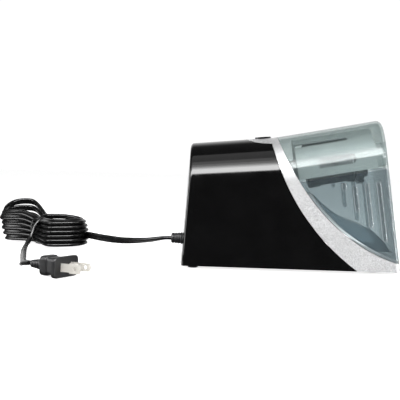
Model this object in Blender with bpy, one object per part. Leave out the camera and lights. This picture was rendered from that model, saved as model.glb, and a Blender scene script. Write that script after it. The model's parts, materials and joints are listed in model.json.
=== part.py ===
"""Heavy-duty electric pencil sharpener with a see-through cutter dome and a slide-out shavings bin.

Sizes are in millimetres and scaled to metres as the meshes are made.  The floor is Z = 0, the pencil
port faces +X and the mains cord leaves towards -X.  The pencil axis rises towards the port, so the
cutter and the gear train are modelled along the local X axis of a tilted empty.
"""
import math

import bmesh
import bpy
from mathutils import Vector
from mathutils.geometry import interpolate_bezier

MM = 0.001
GAP = 0.3                     # clearance between neighbouring pieces

# ---- casing ----
BASE_Z = 2.0                  # underside of the casing, above the feet
REAR_X = -92.5                # rear face at its side corners, at the base
FRONT_X = 92.5                # front face at its side corners, at FRONT_FOOT_Z
FRONT_FOOT_Z = 9.5
REAR_LEAN = 0.0664            # run per rise of the two end faces
FRONT_LEAN = 0.1335
END_BULGE = 3.5               # the end faces bow out this much in plan
REAR_ROUND = 2.4              # edge radii round the end faces
FRONT_ROUND = 4.5
CROWN = [(0.0, 108.2), (0.44, 115.1), (1.0, 132.9)]
SPRING = [(0.0, 70.0), (0.44, 75.0), (0.54, 76.6), (1.0, 90.6)]
HALF_BASE = [(0.0, 46.5), (1.0, 48.0)]
HALF_SPRING = [(0.0, 45.2), (1.0, 46.6)]
ARCH_STEPS = 8
WALL = 2.4

# ---- swoosh band and seam, drawn in the XZ plane ----
BAND_REAR_CENTRE = (166.3, 156.3)
BAND_REAR_RADIUS = 189.1
BAND_FRONT = [(-13.0, 117.0), (-2.0, 85.0), (30.0, 26.0), (93.0, 8.5)]   # cubic Bezier handles
WEB = 2.4                     # bulkhead behind the bin
SEAM_Z0 = 75.2                # seam height at X = 0
SEAM_SLOPE = 0.181

# ---- casing details ----
SCREWS = [(-74.0, 39.0), (-74.0, -39.0), (12.0, 39.5), (12.0, -39.5)]
FEET = [("foot_rear_left", -83.0, 37.0), ("foot_rear_right", -83.0, -37.0),
        ("foot_front_left", 72.0, 30.0), ("foot_front_right", 72.0, -30.0)]
FOOT_R = 4.4
BADGE_X = -24.5
BADGE_HALF = (7.2, 7.6)       # half length and half width of the oval
GRIP_R = 1.7
# Grip ribs: X at the top, top height and foot height; they lean with the front face.
BIN_RIBS = [(44.0, 76.5, 70.0), (53.0, 75.5, 51.5), (63.0, 77.5, 39.0), (73.0, 78.5, 27.5)]

# ---- mechanism, along the tilted pencil axis (u forward, from X = 0) ----
AXIS_Z = 87.0
AXIS_TILT = math.radians(10.5)
SHROUD_R = 25.0
SHROUD_WALL = 1.6
SHROUD_BASE = -10.6
PORT_R = 5.0
RING_TEETH = 44
PLANET_TEETH = 12
PLANET_MODULE = 0.9
PLANET_U = 60.0
CUTTER_TILT = math.radians(11.5)
CUTTER_R = 7.0
CONE_TIP_U = 24.3             # where the sharpened point ends
CUTTER_PIN_R = 1.5
CUTTER_BORE_R = 1.8
PLATE_FRONT_U = (-16.0, -14.0)
PLATE_REAR_U = (-37.0, -35.0)
SHAFT_R = 4.0
CARRIER_TEETH = 40
IDLER_PINION_TEETH = 12
IDLER_TEETH = 40
MOTOR_TEETH = 10
IDLER_DROP = (CARRIER_TEETH + IDLER_PINION_TEETH) / 2
MOTOR_DROP = IDLER_DROP + (IDLER_TEETH + MOTOR_TEETH) / 2

# ---- cord ----
CORD_R = 2.0
GLAND_Z = 21.5
PLUG_AT = (-174.0, -126.0)
PLUG_TURN = math.radians(-25.0)
PLUG_BASE = 0.3
PLUG_H = 16.0
CORD_ROUTE = [(-105.5, 0.0, 21.5), (-112.0, 0.8, 21.2), (-130.0, 14.0, 17.5), (-155.0, 38.0, 14.2),
              (-178.0, 62.0, 13.6), (-196.0, 79.0, 14.4)]
TAIL_ROUTE = [(-246.0, 111.0, 29.8), (-251.5, 103.0, 29.8), (-256.8, 95.5, 29.3), (-262.0, 88.5, 23.5),
              (-264.5, 84.0, 13.5), (-264.8, 79.0, 5.0), (-262.5, 69.0, 2.3), (-256.5, 43.0, 2.3),
              (-247.5, 8.0, 2.3), (-239.0, -30.0, 2.3), (-232.0, -62.0, 2.3), (-229.0, -80.0, 3.2),
              (-224.5, -96.0, 5.2), (-216.0, -106.0, 7.2), (-206.3, -111.0, 8.3)]
HANK_LOBES = [(-224.0, 86.0), (-284.0, 150.0)]
HANK_LOBE_R = 24.0
HANK_WAIST = 12.0
HANK_Z = (0.3, 27.0)


# ------------------------------------------------------------------ helpers
def clear_scene():
    for item in list(bpy.data.objects):
        bpy.data.objects.remove(item, do_unlink=True)


def material(name, colour, roughness, metallic=0.0, alpha=1.0):
    mat = bpy.data.materials.get(name)
    if mat is None:
        mat = bpy.data.materials.new(name)
        mat.use_nodes = True
        shader = mat.node_tree.nodes["Principled BSDF"]
        shader.inputs["Base Color"].default_value = (*colour, 1.0)
        shader.inputs["Roughness"].default_value = roughness
        shader.inputs["Metallic"].default_value = metallic
        shader.inputs["Alpha"].default_value = alpha
        mat.diffuse_color = (*colour, alpha)
    return mat


def piece(name, bm, mat, parent=None, smooth=True):
    """Finish a bmesh in millimetres as a named object in metres."""
    bmesh.ops.scale(bm, vec=(MM, MM, MM), verts=bm.verts)
    bmesh.ops.remove_doubles(bm, verts=bm.verts, dist=1e-6)
    bmesh.ops.recalc_face_normals(bm, faces=bm.faces)
    mesh = bpy.data.meshes.new(name)
    bm.to_mesh(mesh)
    bm.free()
    if smooth:
        mesh.shade_smooth()
        mesh.set_sharp_from_angle(angle=math.radians(32))
    item = bpy.data.objects.new(name, mesh)
    bpy.context.scene.collection.objects.link(item)
    if mat is not None:
        mesh.materials.append(mat)
    item.parent = parent
    return item


def guide(item):
    """Mark an object as a construction guide."""
    item.hide_render = True
    item.display_type = "WIRE"
    return item


def modify(target, tool, operation):
    step = target.modifiers.new(operation.lower() + "_" + tool.name, "BOOLEAN")
    step.operation = operation
    step.object = tool
    step.solver = "EXACT"
    return target


def cut(target, *tools):
    for tool in tools:
        modify(target, guide(tool), "DIFFERENCE")
    return target


def keep(target, *tools):
    for tool in tools:
        modify(target, guide(tool), "INTERSECT")
    return target


def join(target, *tools):
    for tool in tools:
        modify(target, guide(tool), "UNION")
    return target


def rings_to_mesh(rings, caps=True):
    """Skin a row of equal point rings and cap its ends."""
    bm = bmesh.new()
    rows = [[bm.verts.new(point) for point in ring] for ring in rings]
    count = len(rows[0])
    for here, there in zip(rows, rows[1:]):
        for k in range(count):
            j = (k + 1) % count
            bm.faces.new((here[k], here[j], there[j], there[k]))
    if caps:
        bm.faces.new(rows[0])
        bm.faces.new(rows[-1])
    return bm


def box(name, x, y, z, mat=None, parent=None):
    ring = [(x[0], y[0]), (x[1], y[0]), (x[1], y[1]), (x[0], y[1])]
    bm = rings_to_mesh([[(a, b, h) for a, b in ring] for h in z])
    return piece(name, bm, mat, parent, smooth=False)


def prism_y(name, outline, half, mat=None, parent=None):
    """Extrude an XZ outline across Y, from -half to half, or between two given values."""
    low, high = (-half, half) if not isinstance(half, tuple) else half
    bm = rings_to_mesh([[(x, y, z) for x, z in outline] for y in (low, high)])
    return piece(name, bm, mat, parent, smooth=False)


def prism_x(name, outline, x, mat=None, parent=None):
    """Extrude a YZ outline along X."""
    bm = rings_to_mesh([[(u, y, z) for y, z in outline] for u in x])
    return piece(name, bm, mat, parent)


def prism_z(name, outline, z, mat=None, parent=None):
    """Extrude an XY outline along Z."""
    bm = rings_to_mesh([[(x, y, h) for x, y in outline] for h in z])
    return piece(name, bm, mat, parent)


def turned(name, profile, mat=None, parent=None, steps=24, centre=(0.0, 0.0), axis="X"):
    """Turn a closed (u, r) profile about the X (or Z) axis through a (y, z) or (x, y) centre.

    A profile that starts and ends on r = 0 makes a solid; any other closes on itself as a ring.
    """
    solid = profile[0][1] == 0.0
    bm = bmesh.new()
    rows = []
    for u, r in profile:
        row = []
        turns = 1 if r == 0.0 else steps
        for k in range(turns):
            a = 2 * math.pi * k / steps
            p, q = centre[0] + r * math.cos(a), centre[1] + r * math.sin(a)
            row.append(bm.verts.new((u, p, q) if axis == "X" else (p, q, u)))
        rows.append(row)
    pairs = list(zip(rows, rows[1:]))
    if not solid:
        pairs.append((rows[-1], rows[0]))
    for here, there in pairs:
        for k in range(steps):
            j = (k + 1) % steps
            ring = [here[k % len(here)], here[j % len(here)], there[j % len(there)], there[k % len(there)]]
            corners = list(dict.fromkeys(ring))
            if len(corners) > 2:
                bm.faces.new(corners)
    return piece(name, bm, mat, parent)


def rod(name, u, r, mat=None, parent=None, steps=20, centre=(0.0, 0.0), axis="X"):
    profile = [(u[0], 0.0), (u[0], r), (u[1], r), (u[1], 0.0)]
    return turned(name, profile, mat, parent, steps, centre, axis)


def sleeve(name, u, inner, outer, mat=None, parent=None, steps=20, centre=(0.0, 0.0), axis="X"):
    profile = [(u[0], inner), (u[0], outer), (u[1], outer), (u[1], inner)]
    return turned(name, profile, mat, parent, steps, centre, axis)


def arc(centre, radius, start, stop, steps):
    """Points on an arc, angles in degrees."""
    points = []
    for k in range(steps + 1):
        a = math.radians(start + (stop - start) * k / steps)
        points.append((centre[0] + radius * math.cos(a), centre[1] + radius * math.sin(a)))
    return points


def table(t, rows):
    """Straight-line reading of a small (parameter, value) table."""
    for (t0, v0), (t1, v1) in zip(rows, rows[1:]):
        if t <= t1:
            return v0 + (v1 - v0) * max(t - t0, 0.0) / (t1 - t0)
    return rows[-1][1]


# ------------------------------------------------------------------ the casing's outer form
def section(t, inset, floor_z):
    """One closed YZ outline of the casing at length fraction t, shrunk by inset."""
    base = table(t, HALF_BASE) - inset
    side = table(t, HALF_SPRING) - inset
    spring = table(t, SPRING)
    crown = table(t, CROWN) - inset
    half = [(base, floor_z)]
    for k in range(ARCH_STEPS):
        a = math.pi / 2 * k / ARCH_STEPS
        half.append((side * math.cos(a), spring + (crown - spring) * math.sin(a)))
    mirrored = [(-y, z) for y, z in reversed(half)]
    return [(0.0, floor_z), (base / 2, floor_z)] + half + [(0.0, crown)] + mirrored + [(-base / 2, floor_z)]


def rear_face(y, z):
    return REAR_X + (z - BASE_Z) * REAR_LEAN - END_BULGE * (1 - (y / 44.0) ** 2)


def front_face(y, z):
    return FRONT_X - (z - FRONT_FOOT_Z) * FRONT_LEAN + END_BULGE * (1 - (y / 44.0) ** 2)


def casing_form(name, wall=0.0, floor_z=BASE_Z):
    """The whole casing as a solid: arched top, leaning bowed ends with rounded edges."""
    length = FRONT_X - REAR_X
    angles = [math.radians(a) for a in (0, 30, 60, 90)]
    rear_r = max(REAR_ROUND - wall, 1.2)
    front_r = max(FRONT_ROUND - wall, 1.2)
    rings = []
    for a in angles:
        depth = rear_r * (1 - math.cos(a))
        ring = section(depth / length, wall + rear_r * (1 - math.sin(a)), floor_z)
        rings.append([(rear_face(y, z) + wall + depth, y, z) for y, z in ring])
    for t in (0.25, 0.44, 0.54, 0.77):
        ring = section(t, wall, floor_z)
        rings.append([(rear_face(y, z) + t * (front_face(y, z) - rear_face(y, z)), y, z) for y, z in ring])
    for a in reversed(angles):
        depth = front_r * (1 - math.cos(a))
        ring = section(1 - depth / length, wall + front_r * (1 - math.sin(a)), floor_z)
        rings.append([(front_face(y, z) - wall - depth, y, z) for y, z in ring])
    bm = rings_to_mesh(rings, caps=False)
    bm.verts.ensure_lookup_table()
    count = len(rings[0])
    bowed_cap(bm, bm.verts[:count], lambda y, z: rear_face(y, z) + wall)
    bowed_cap(bm, bm.verts[(len(rings) - 1) * count:len(rings) * count],
              lambda y, z: front_face(y, z) - wall)
    return piece(name, bm, None)


def bowed_cap(bm, ring, face_x):
    """Fill an end ring with rows of quads that follow the bowed end face."""
    levels = ARCH_STEPS + 1
    right = ring[2:2 + levels]
    left = ring[-2:-2 - levels:-1]
    crown = ring[2 + levels]
    rows = [[left[0], ring[-1], ring[0], ring[1], right[0]]]
    for a, b in zip(left[1:], right[1:]):
        inner = [(b.co.y * f, b.co.z) for f in (-0.5, 0.0, 0.5)]
        rows.append([a] + [bm.verts.new((face_x(y, z), y, z)) for y, z in inner] + [b])
    for low, high in zip(rows, rows[1:]):
        for k in range(4):
            bm.faces.new((low[k], low[k + 1], high[k + 1], high[k]))
    for k in range(4):
        bm.faces.new((rows[-1][k], rows[-1][k + 1], crown))


def front_curve(offset=0.0, steps=14):
    """The band's front edge from top to foot, moved towards the bin by offset."""
    handles = [Vector((x, 0.0, z)) for x, z in BAND_FRONT]
    points = interpolate_bezier(*handles, steps + 1)
    moved = []
    for k, point in enumerate(points):
        ahead = points[min(k + 1, steps)]
        behind = points[max(k - 1, 0)]
        along = (ahead - behind).normalized()
        moved.append((point.x - along.z * offset, point.z + along.x * offset))
    return moved


def rear_curve(offset=0.0, steps=12):
    """The band's rear edge from top to foot, moved towards the rear by offset."""
    return arc(BAND_REAR_CENTRE, BAND_REAR_RADIUS + offset, 192.0, 236.5, steps)


def region_behind_front(name, offset):
    """Everything on the rear side of the band's front edge."""
    curve = front_curve(offset)
    x0, z0 = curve[0]
    x1, z1 = curve[-1]
    outline = [(-130.0, 160.0), (x0 - 16.0, 160.0)] + curve + [(x1 + 30.0, z1 - 1.0), (x1 + 30.0, -30.0),
                                                             (-130.0, -30.0)]
    return prism_y(name, outline, 80.0)


def region_ahead_of_front(name, offset, low, high):
    """Everything ahead of the band's front edge, between two lines parallel to the seam."""
    curve = front_curve(offset)
    first, last = curve[0], curve[-1]
    curve = [(first[0] - 16.0, 160.0)] + curve + [(last[0] + 30.0, last[1] - 1.0)]
    inside = prism_y(name, curve + [(last[0] + 30.0, 160.0)], 80.0)
    strip = prism_y(name + "_strip", [(-60.0, seam_z(-60.0) + low), (140.0, seam_z(140.0) + low),
                                      (140.0, seam_z(140.0) + high), (-60.0, seam_z(-60.0) + high)], 90.0)
    return keep(inside, strip)


def seam_z(x):
    return SEAM_Z0 + SEAM_SLOPE * x


def badge_tab(name, margin=0.0):
    """The silver tongue that runs back from the band along the crown."""
    tip = (-40.0 - margin, 0.0)
    side = [(-38.5 - margin, 8.0), (-35.5 - margin, 14.0 + margin), (-31.0, 19.0 + margin),
            (-24.0, 22.0 + margin), (-8.0, 25.5 + margin)]
    outline = [tip] + side + [(x, -y) for x, y in side[::-1]]
    return prism_z(name, outline, (100.0, 140.0))


# ------------------------------------------------------------------ casing pieces
def make_housing(mat):
    housing = casing_form("rear_housing")
    cut(housing, casing_form("housing_hollow", WALL, -5.0))
    cut(housing, region_ahead_of_rear("housing_front_limit", GAP / 2))
    cut(housing, badge_tab("housing_tab_clearance", GAP))
    for k, (x, y) in enumerate(SCREWS):
        boss = rod(f"housing_boss_{k}", (BASE_Z + 4.2, 24.0), 4.0, None, None, 16, (x, y), "Z")
        rib = box(f"housing_rib_{k}", (x - 1.0, x + 1.0), sorted((y, math.copysign(45.8, y))),
                  (BASE_Z + 5.4, 22.0))
        join(housing, boss, rib)
    for k, (x, y) in enumerate(SCREWS):
        pilot = rod(f"housing_pilot_{k}", (0.0, 20.0), 1.75, None, None, 12, (x, y), "Z")
        cut(housing, pilot)
    cut(housing, rod("gland_hole", (-110.0, -80.0), 4.8, None, None, 24, (0.0, GLAND_Z)))
    housing.data.materials.append(mat)
    return housing


def region_ahead_of_rear(name, offset):
    curve = rear_curve(offset)
    outline = [(160.0, 160.0), (curve[0][0] + 5.0, 160.0)] + curve + [(160.0, curve[-1][1])]
    return prism_y(name, outline, 80.0)


def make_band(mat):
    """The silver band, the bulkhead web that carries it across, and the switch boss."""
    band = casing_form("trim_band")
    swoosh = region_ahead_of_rear("band_rear_limit", -GAP / 2)
    join(swoosh, badge_tab("band_tab"))
    keep(band, swoosh, region_behind_front("band_front_limit", 0.0))
    hollow = casing_form("band_hollow", WALL, -5.0)
    keep(hollow, region_behind_front("band_web_rear", -WEB))
    cut(band, hollow)
    boss = box("switch_boss", (24.0, 44.0), (-7.0, 7.0), (33.5, 46.5))
    keep(boss, region_behind_front("switch_boss_limit", -1.0))
    join(band, boss)
    cut(band, rod("plunger_hole", (0.0, 70.0), 3.3, None, None, 20, (0.0, 40.0)))
    cut(band, rod("bushing_hole", (-30.0, 30.0), 7.3, None, AXIS, 28))
    pocket = oval("badge_pocket", 0.3, (-1.1, 6.0))
    cut(band, pocket)
    band.data.materials.append(mat)
    return band


def oval(name, margin, z, mat=None):
    """An oval disc lying on the crown, on the tab."""
    ring = []
    for k in range(28):
        a = 2 * math.pi * k / 28
        ring.append(((BADGE_HALF[0] + margin) * math.cos(a), (BADGE_HALF[1] + margin) * math.sin(a)))
    item = prism_z(name, ring, z, mat)
    t = 0.44 * (BADGE_X + 88.0) / 77.0
    item.location = (BADGE_X * MM, 0.0, (table(t, CROWN)) * MM)
    item.rotation_euler = (0.0, -math.radians(5.0), 0.0)
    return item


def make_dome(mat):
    dome = casing_form("cutter_dome")
    keep(dome, region_ahead_of_front("dome_limit", GAP, GAP, 120.0))
    cut(dome, casing_form("dome_hollow", WALL, -5.0))
    cut(dome, rod("guide_hole", (60.0, 110.0), 11.0, None, AXIS, 32))
    dome.data.materials.append(mat)
    return dome


def make_bin(mat):
    """Open-topped tray that follows the band, with grip ribs on both sides."""
    shavings_bin = casing_form("shavings_bin")
    keep(shavings_bin, region_ahead_of_front("bin_limit", 0.6, -120.0, -GAP))
    hollow = casing_form("bin_hollow", 2.0, -5.0)
    keep(hollow, region_ahead_of_front("bin_hollow_limit", 2.8, -120.0, 40.0))
    cut(shavings_bin, hollow)
    for k, (x, top, foot) in enumerate(BIN_RIBS):
        for side in (-1.0, 1.0):
            join(shavings_bin, grip_rib(f"grip_{k}_{int(side > 0)}", x, top, foot, side))
    cut(shavings_bin, box("bin_notch", (-20.0, 30.0), (-29.0, 29.0), (66.0, 110.0)))
    shavings_bin.data.materials.append(mat)
    return shavings_bin


def grip_rib(name, x, top, foot, side):
    """A capsule lying on the bin's side wall."""
    rings = []
    ends = [(GRIP_R * (1 - c), s) for c, s in ((1.0, 0.2), (0.72, 0.7), (0.3, 0.95), (0.0, 1.0))]
    stations = [(top - d, s) for d, s in ends] + [(foot + d, s) for d, s in reversed(ends)]
    for z, scale in stations:
        centre = x + (top - z) * FRONT_LEAN
        wall_y = table((x + 92.5) / 185.0, HALF_BASE)
        wall_y += (table((x + 92.5) / 185.0, HALF_SPRING) - wall_y) * (z - BASE_Z) / (76.0 - BASE_Z)
        ring = []
        for k in range(10):
            a = 2 * math.pi * k / 10
            ring.append((centre + GRIP_R * scale * math.cos(a),
                         side * (wall_y - 0.3 + 1.3 * scale * math.sin(a)), z))
        rings.append(ring)
    return piece(name, rings_to_mesh(rings), None)


def make_base(plate_mat, foot_mat, screw_mat):
    plate = casing_form("base_plate", WALL + GAP, BASE_Z)
    keep(plate, box("base_plate_slab", (-120.0, 84.0), (-60.0, 60.0), (BASE_Z - 1.0, BASE_Z + 3.0)))
    for k, (x, y) in enumerate(SCREWS):
        hole = rod(f"screw_hole_{k}", (0.0, 12.0), 2.3, None, None, 12, (x, y), "Z")
        sink = rod(f"screw_sink_{k}", (0.0, BASE_Z + 1.3), 4.2, None, None, 12, (x, y), "Z")
        cut(plate, hole, sink)
    plate.data.materials.append(plate_mat)
    for k, (x, y) in enumerate(SCREWS):
        profile = [(BASE_Z - 0.1, 0.0), (BASE_Z - 0.1, 3.4), (BASE_Z + 1.0, 3.4), (BASE_Z + 1.0, 1.4),
                   (BASE_Z + 15.0, 1.4), (BASE_Z + 15.0, 0.0)]
        turned(f"base_screw_{k + 1}", profile, screw_mat, None, 12, (x, y), "Z")
    for name, x, y in FEET:
        profile = [(0.0, 0.0), (0.0, FOOT_R - 0.5), (0.5, FOOT_R), (BASE_Z - GAP, FOOT_R),
                   (BASE_Z - GAP, 0.0)]
        turned(name, profile, foot_mat, None, 16, (x, y), "Z")


# ------------------------------------------------------------------ gear helpers
def gear_outline(teeth, module, phase, inner=False, fill=0.40):
    """Trapezoid teeth; the phase is the direction of one tooth's middle, in degrees."""
    pitch = teeth * module / 2
    tip = pitch + (-0.7 if inner else 0.75) * module
    root = pitch - (-1.15 if inner else 1.15) * module
    step = 360.0 / teeth
    points = []
    for k in range(teeth):
        middle = phase + k * step
        for turn, radius in ((-fill * 0.78, root), (-fill * 0.28, tip), (fill * 0.28, tip), (fill * 0.78, root)):
            a = math.radians(middle + turn * step)
            points.append((radius * math.cos(a), radius * math.sin(a)))
    return points


def gear(name, teeth, module, u, bore, phase, mat, parent):
    body = prism_x(name, gear_outline(teeth, module, phase), u, mat, parent)
    cut(body, rod(name + "_bore", (u[0] - 2, u[1] + 2), bore, None, parent, 20))
    return body


def empty(name, location, parent=None, turn=(0.0, 0.0, 0.0)):
    item = bpy.data.objects.new(name, None)
    bpy.context.scene.collection.objects.link(item)
    item.location = [v * MM for v in location]
    item.rotation_euler = turn
    item.parent = parent
    return item


# ------------------------------------------------------------------ cutter head
def make_shroud(mat):
    """Arched liner over the cutter, with two long slots on each side."""
    steps = 16
    outer = [(SHROUD_R, SHROUD_BASE)] + arc((0, 0), SHROUD_R, 0, 180, steps) + [(-SHROUD_R, SHROUD_BASE)]
    bore = SHROUD_R - SHROUD_WALL
    inner = [(bore, SHROUD_BASE)] + arc((0, 0), bore, 0, 180, steps) + [(-bore, SHROUD_BASE)]
    shroud = prism_x("cutter_shroud", outer + inner[::-1], (6.0, 75.4), mat, AXIS)
    lower = slot_outline(25.0, 58.0, 0.8, 4.4)
    cut(shroud, prism_y("shroud_low_slots", lower, 40.0, None, AXIS))
    for side in (-1, 1):
        swing = empty(f"slot_swing_{side + 1}", (0, 0, 0), AXIS, (side * math.radians(40.0), 0.0, 0.0))
        upper = slot_outline(3.0, 54.0, 0.0, 2.6)
        cut(shroud, prism_z(f"shroud_high_slot_{side + 1}", upper, (15.0, 40.0), None, swing))
    return shroud


def slot_outline(start, stop, height, radius):
    """A slot with a square rear end and a round front end."""
    nose = arc((stop - radius, height), radius, 90, -90, 10)
    return [(start, height + radius)] + nose + [(start, height - radius)]


def cutter_distance(u):
    """Distance of the inclined cutter axis from the pencil axis."""
    return CUTTER_R / math.cos(CUTTER_TILT) + (u - CONE_TIP_U) * math.tan(CUTTER_TILT)


def make_guide(mat):
    profile = [(75.8, PORT_R), (75.8, 17.0), (77.6, 17.0), (77.6, 10.6), (85.2, 10.6), (86.0, 9.8),
               (86.0, 8.2), (82.5, PORT_R)]
    guide_bush = turned("pencil_guide", profile, mat, AXIS, 28)
    cut(guide_bush, box("guide_flat", (70.0, 79.0), (-30.0, 30.0), (-30.0, SHROUD_BASE), None, AXIS))
    return guide_bush


def make_cutter_head(shroud_mat, steel, cast, plastic):
    make_shroud(shroud_mat)
    make_guide(plastic)
    ring_bore = rod("ring_blank", (57.6, 63.0), 23.0, steel, AXIS, 36)
    ring_bore.name = "ring_gear"
    gap_down = -90.0 + 180.0 / RING_TEETH
    inner = prism_x("ring_teeth", gear_outline(RING_TEETH, PLANET_MODULE, gap_down, True), (50.0, 70.0),
                    None, AXIS)
    cut(ring_bore, inner)
    # rotating carrier
    profile = [(14.0, 0.0), (14.0, 18.5), (15.2, 20.0), (54.5, 20.0), (56.0, 17.6), (67.5, 17.6),
               (67.5, 0.0)]
    carrier = turned("cutter_carrier", profile, cast, AXIS, 28)
    cut(carrier, rod("pencil_bore", (24.0, 80.0), 5.6, None, AXIS, 20))
    cutter_axis = empty("cutter_axis", (PLANET_U, 0.0, -cutter_distance(PLANET_U)), AXIS,
                        (0.0, CUTTER_TILT, 0.0))
    cut(carrier, rod("cutter_pocket", (-37.5, -3.5), CUTTER_R + 1.0, None, cutter_axis, 24))
    cut(carrier, rod("planet_pocket", (-3.6, 3.6), 7.2, None, cutter_axis, 24))
    cut(carrier, box("shavings_window", (25.0, 53.0), (-7.0, 7.0), (-24.0, -10.0), None, AXIS))
    cut(carrier, rod("cutter_pin_bore", (-41.0, 6.5), CUTTER_BORE_R, None, cutter_axis, 16))
    rod("cutter_pin", (-40.6, 6.2), CUTTER_PIN_R, steel, cutter_axis, 16)
    make_cutter(steel, cutter_axis)
    planet = prism_x("planet_pinion", gear_outline(PLANET_TEETH, PLANET_MODULE, -90.0), (-2.0, 2.4),
                     steel, cutter_axis)
    cut(planet, rod("planet_bore", (-5.0, 5.0), CUTTER_BORE_R, None, cutter_axis, 16))
    return cutter_axis


def make_cutter(steel, cutter_axis):
    """Helical milling cutter: a fluted section that twists along its length."""
    flutes = 9
    length = (-36.6, -2.4)
    twist = math.radians(70.0)
    rows = 9
    rings = []
    for k in range(rows + 1):
        u = length[0] + (length[1] - length[0]) * k / rows
        ring = []
        for j in range(flutes):
            for share, radius in ((0.0, CUTTER_R), (0.35, CUTTER_R - 0.5), (0.8, CUTTER_R - 1.7)):
                a = 2 * math.pi * (j + share) / flutes + twist * k / rows
                ring.append((u, radius * math.cos(a), radius * math.sin(a)))
        rings.append(ring)
    cutter = piece("helical_cutter", rings_to_mesh(rings), steel, cutter_axis, smooth=False)
    cut(cutter, rod("cutter_bore", (-45.0, 5.0), CUTTER_BORE_R, None, cutter_axis, 16))
    return cutter


# ------------------------------------------------------------------ gearbox and motor
def make_gearbox(steel, brass, plastic):
    for name, span, foot in (("gearbox_plate_front", PLATE_FRONT_U, -79.4),
                             ("gearbox_plate_rear", PLATE_REAR_U, -75.2)):
        outline = [(26.0, foot), (26.0, 10.0), (15.0, 21.0), (-15.0, 21.0), (-26.0, 10.0), (-26.0, foot)]
        plate = prism_x(name, outline, span, steel, AXIS)
        cut(plate, rod(name + "_bearing_seat", (span[0] - 3, span[1] + 3), 7.3, None, AXIS, 24))
        cut(plate, rod(name + "_idler_seat", (span[0] - 3, span[1] + 3), 2.8, None, IDLER_AXIS, 20))
        if span == PLATE_REAR_U:
            cut(plate, rod("motor_boss_seat", (span[0] - 3, span[1] + 3), 6.8, None, MOTOR_AXIS, 24))
    for k, (y, z) in enumerate(((22.6, 9.0), (-22.6, 9.0), (22.0, -66.0), (-22.0, -66.0))):
        rod(f"gearbox_spacer_{k + 1}", (-34.7, -16.3), 2.8, brass, AXIS, 16, (y, z))
    sleeve("carrier_bushing_rear", (-37.0, -32.0), SHAFT_R + GAP, 7.0, brass, AXIS)
    sleeve("carrier_bushing_front", (-6.5, 7.0), SHAFT_R + GAP, 7.0, brass, AXIS)
    rod("carrier_shaft", (-36.8, 13.7), SHAFT_R, steel, AXIS)
    gear("carrier_gear", CARRIER_TEETH, 1.0, (-23.0, -18.0), SHAFT_R + GAP, -90.0, plastic, AXIS)
    half_step = 180.0 / IDLER_PINION_TEETH
    gear("idler_pinion", IDLER_PINION_TEETH, 1.0, (-24.4, -17.2), 2.8, 90.0 + half_step, steel, IDLER_AXIS)
    gear("idler_gear", IDLER_TEETH, 1.0, (-30.5, -25.0), 2.8, -90.0, plastic, IDLER_AXIS)
    rod("idler_shaft", (-36.9, -14.1), 2.5, steel, IDLER_AXIS, 20)


def make_motor(steel, brass, plastic):
    profile = [(-73.0, 15.2), (-73.0, 16.6), (-39.0, 16.6), (-38.0, 15.6), (-38.0, 6.4), (-34.6, 6.4),
               (-34.6, 2.0), (-39.6, 2.0), (-39.6, 15.2)]
    turned("motor_can", profile, steel, MOTOR_AXIS)
    profile = [(-73.3, 2.0), (-73.3, 16.6), (-75.0, 16.6), (-75.0, 5.0), (-77.0, 5.0), (-77.0, 2.0)]
    turned("motor_end_bell", profile, plastic, MOTOR_AXIS)
    profile = [(-77.5, 0.0), (-77.5, 1.6), (-68.0, 1.6), (-68.0, 6.0), (-63.0, 6.0), (-63.0, 12.5),
               (-43.0, 12.5), (-43.0, 1.6), (-24.6, 1.6), (-24.6, 0.0)]
    turned("motor_rotor", profile, steel, MOTOR_AXIS, 18)
    half_step = 180.0 / MOTOR_TEETH
    gear("motor_pinion", MOTOR_TEETH, 1.0, (-31.0, -25.2), 1.9, 90.0 + half_step, brass, MOTOR_AXIS)


def make_electrics(plastic, green, steel):
    """Start switch with its lever behind the port, bin switch with its plunger, and the power board."""
    body = box("pencil_switch", (70.0, 75.5), (-5.5, 5.5), (12.5, 18.5), plastic, AXIS)
    for side in (-1, 1):
        join(body, box(f"switch_ear_{side + 1}", (70.8, 75.5), sorted((side * 5.5, side * 3.8)), (7.2, 13.0),
                       None, AXIS))
    lever_axis = empty("lever_axis", (73.2, 0.0, 9.4), AXIS)
    cut(body, rod_y("lever_pin_hole", (-8.0, 8.0), 1.1, None, lever_axis))
    rod_y("start_lever_pin", (-5.4, 5.4), 0.8, steel, lever_axis)
    lever = rod_y("start_lever", (-3.4, 3.4), 2.0, plastic, lever_axis)
    join(lever, box("lever_blade", (-0.9, 0.9), (-3.4, 3.4), (-7.0, -1.0), None, lever_axis))
    cut(lever, rod_y("lever_bore", (-5.0, 5.0), 1.1, None, lever_axis))

    box("bin_switch", (12.0, 23.7), (-6.0, 6.0), (33.5, 46.5), plastic)
    profile = [(24.3, 0.0), (24.3, 3.0), (32.5, 3.0), (36.0, 1.0), (36.0, 0.0)]
    turned("interlock_plunger", profile, plastic, None, 20, (0.0, 40.0))

    board = box("power_board", (-74.0, -30.0), (29.0, 30.6), (5.3, 50.0), green)
    parts = (((-70.0, -58.0), (21.0, 29.5), (12.0, 24.0)), ((-54.0, -42.0), (20.0, 29.5), (10.0, 22.0)),
             ((-52.0, -36.0), (22.0, 29.5), (32.0, 44.0)), ((-70.0, -60.0), (24.0, 29.5), (34.0, 40.0)))
    for k, (x, y, z) in enumerate(parts):
        join(board, box(f"board_component_{k}", x, y, z))


def rod_y(name, y, r, mat, parent):
    rings = []
    for h in y:
        rings.append([(r * math.cos(2 * math.pi * k / 16), h, r * math.sin(2 * math.pi * k / 16))
                      for k in range(16)])
    return piece(name, rings_to_mesh(rings), mat, parent)


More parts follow.
